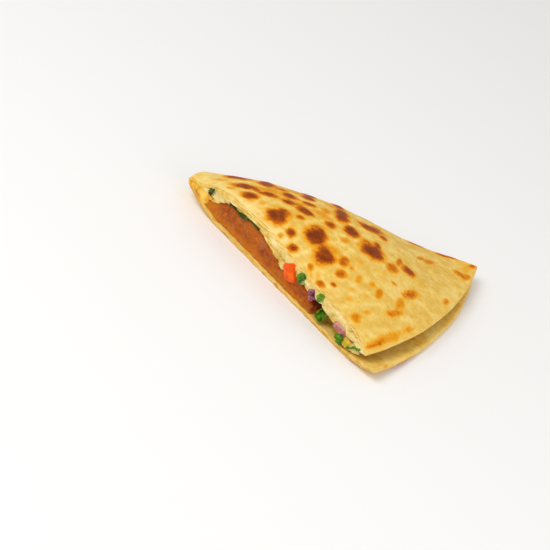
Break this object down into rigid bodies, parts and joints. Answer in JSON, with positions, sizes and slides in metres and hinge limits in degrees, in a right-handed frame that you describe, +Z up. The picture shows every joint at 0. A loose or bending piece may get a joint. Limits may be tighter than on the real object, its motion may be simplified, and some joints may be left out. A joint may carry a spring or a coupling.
{
  "type": "quesadilla wedge",
  "caption": "Wedge of a folded, toasted flour tortilla with sausage patty, egg, melted cheese and diced vegetables between its halves, lying flat.",
  "frame": {"origin": "middle of the wedge's length and width, on the table it lies on", "axes": "+X from the narrow folded nose to the wide open arc, +Z up from the table, the front cut on the -Y side"},
  "size_m": [0.119, 0.1022, 0.0214],
  "materials": {
    "tortilla": "toasted flour tortilla, pale yellow with brown spots, dry",
    "sausage": "cut sausage patty, orange brown, fine grained",
    "egg": "cooked egg, yellow, moist",
    "cheese": "melted cheese, cream, glossy",
    "tomato": "diced tomato, orange red, wet",
    "green_pepper": "diced green pepper, wet",
    "purple_onion": "diced purple onion, wet",
    "pink_onion": "diced pink onion, wet",
    "pale_onion": "diced pale onion, wet",
    "yellow_pepper": "diced yellow pepper, wet",
    "coriander": "coriander leaf, dark green"
  },
  "bodies": {
    "root": {"tortilla": "tortilla", "sausage_patty": "sausage", "egg_layer": "egg", "melted_cheese": "cheese", "tomato_front": "tomato", "pepper_front_1": "green_pepper", "onion_front_purple": "purple_onion", "pepper_front_2": "green_pepper", "onion_front_pink": "pink_onion", "yellow_pepper_front": "yellow_pepper", "onion_front_pale": "pale_onion", "coriander_front_sprig": "coriander", "coriander_front_tip": "coriander", "coriander_front_strip": "coriander", "coriander_front_leaf": "coriander", "coriander_front_sliver": "coriander", "tomato_back": "tomato", "pepper_back_1": "green_pepper", "onion_back_purple": "purple_onion", "pepper_back_2": "green_pepper", "onion_back_pink": "pink_onion", "coriander_back_leaf": "coriander"}
  },
  "joints": []
}
